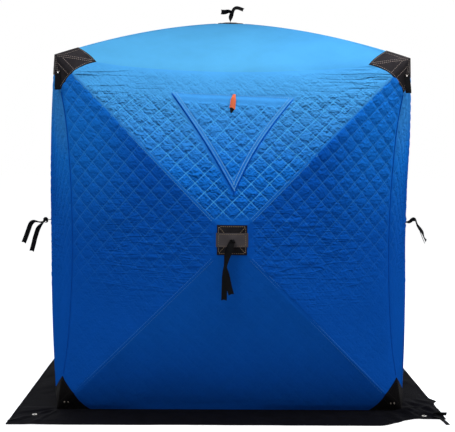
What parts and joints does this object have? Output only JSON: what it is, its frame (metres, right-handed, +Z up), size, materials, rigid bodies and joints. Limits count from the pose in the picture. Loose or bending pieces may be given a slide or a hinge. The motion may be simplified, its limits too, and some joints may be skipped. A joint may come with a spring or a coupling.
{
  "type": "ice fishing hut",
  "caption": "Cube-shaped pop-up ice fishing shelter of quilted blue cloth on bowed poles, with hub straps, a window flap, a zipped door and a ground skirt.",
  "frame": {"origin": "middle of the footprint at ground level", "axes": "+Z up, -Y towards the front wall with the window flap, +X to the right seen from the front"},
  "size_m": [2.5198, 2.2756, 2.2233],
  "materials": {
    "quilted_cloth": "woven polyester, quilted, slight sheen",
    "pole": "smooth fibreglass rod",
    "frame_plastic": "moulded, satin",
    "pole_tape": "flat woven tape, stitched",
    "patch_cloth": "coarse coated weave",
    "grey_webbing": "ribbed webbing",
    "black_webbing": "woven webbing",
    "skirt_cloth": "thin coated weave",
    "eyelet_metal": "bright nickel",
    "clear_film": "clear film",
    "orange_webbing": "woven webbing",
    "zip": "woven zip tape"
  },
  "bodies": {
    "root": {"front_wall": "quilted_cloth", "back_wall": "quilted_cloth", "left_wall": "quilted_cloth", "right_wall": "quilted_cloth", "roof": "quilted_cloth", "door_panel": "quilted_cloth", "window_flap": "quilted_cloth", "front_poles": "pole", "back_poles": "pole", "left_poles": "pole", "right_poles": "pole", "roof_poles": "pole", "front_hub": "frame_plastic", "back_hub": "frame_plastic", "left_hub": "frame_plastic", "right_hub": "frame_plastic", "roof_hub": "frame_plastic", "roof_corner_pieces": "frame_plastic", "ground_corner_pieces": "frame_plastic", "pole_tapes": "pole_tape", "front_hub_patch": "patch_cloth", "back_hub_patch": "patch_cloth", "left_hub_patch": "patch_cloth", "right_hub_patch": "patch_cloth", "roof_hub_patch": "patch_cloth", "front_left_roof_patch": "patch_cloth", "front_right_roof_patch": "patch_cloth", "back_left_roof_patch": "patch_cloth", "back_right_roof_patch": "patch_cloth", "front_left_base_patch": "patch_cloth", "front_right_base_patch": "patch_cloth", "back_left_base_patch": "patch_cloth", "back_right_base_patch": "patch_cloth", "hub_bands": "grey_webbing", "front_strap": "black_webbing", "back_strap": "black_webbing", "left_strap": "black_webbing", "right_strap": "black_webbing", "roof_strap": "black_webbing", "corner_loops": "black_webbing", "front_skirt": "skirt_cloth", "back_skirt": "skirt_cloth", "left_skirt": "skirt_cloth", "right_skirt": "skirt_cloth", "skirt_eyelets": "eyelet_metal", "window_pane": "clear_film", "pull_tab": "orange_webbing", "door_zip": "zip"}
  },
  "joints": []
}
